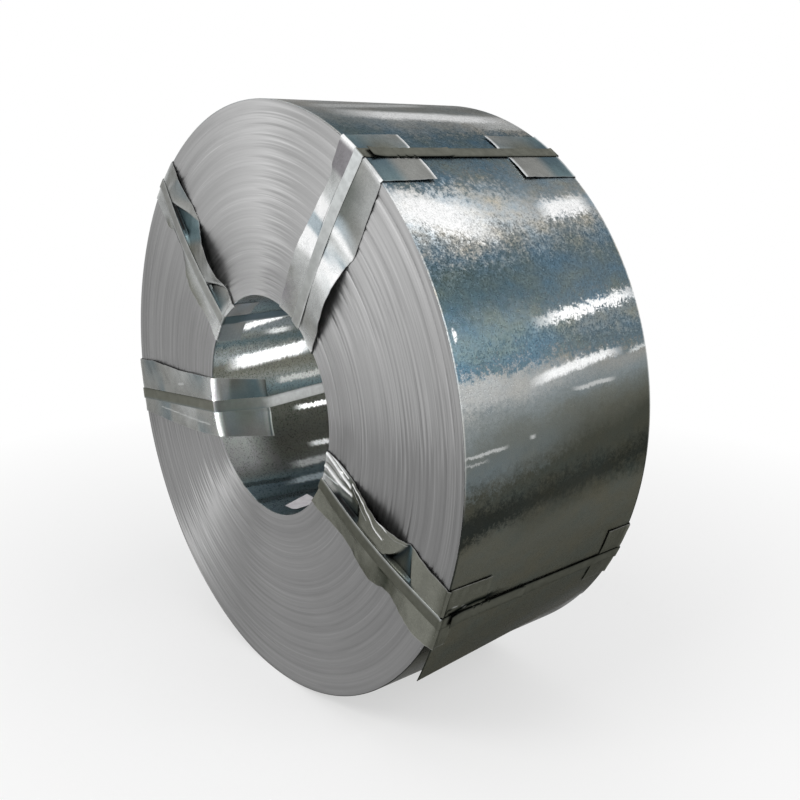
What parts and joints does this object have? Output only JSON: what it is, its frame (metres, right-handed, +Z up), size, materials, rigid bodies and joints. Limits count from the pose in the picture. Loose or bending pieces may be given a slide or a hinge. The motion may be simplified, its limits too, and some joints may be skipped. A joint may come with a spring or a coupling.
{
  "type": "steel strip coil",
  "caption": "Coil of galvanised steel strip on its rim, eye level, held by steel straps through the eye over folded sheet edge guards, with the strip's loose end sprung out low on one side.",
  "frame": {"origin": "on the floor under the middle of the coil, halfway between its two ends", "axes": "+Z up, +Y along the eye from the front end to the back end, +X to the right seen from the front"},
  "size_m": [1.3435, 0.5726, 1.3412],
  "materials": {
    "galvanised_strip": "bright hot-dip galvanised with fine spangle, satin wound edges on the ends",
    "strapping": "zinc-coated steel strapping, satin",
    "guard_sheet": "bright galvanised sheet, creased and buckled",
    "label_paper": "plain off-white paper, blank"
  },
  "bodies": {
    "root": {"coil": "galvanised_strip", "strap_upper_left": "strapping", "strap_upper_right": "strapping", "strap_lower_right": "strapping", "strap_left": "strapping", "edge_guard_front_upper_left": "guard_sheet", "edge_guard_front_upper_right": "guard_sheet", "edge_guard_front_lower_right": "guard_sheet", "edge_guard_front_left": "guard_sheet", "edge_guard_back_upper_left": "guard_sheet", "edge_guard_back_upper_right": "guard_sheet", "edge_guard_back_lower_right": "guard_sheet", "edge_guard_back_left": "guard_sheet", "bore_label": "label_paper"}
  },
  "joints": []
}
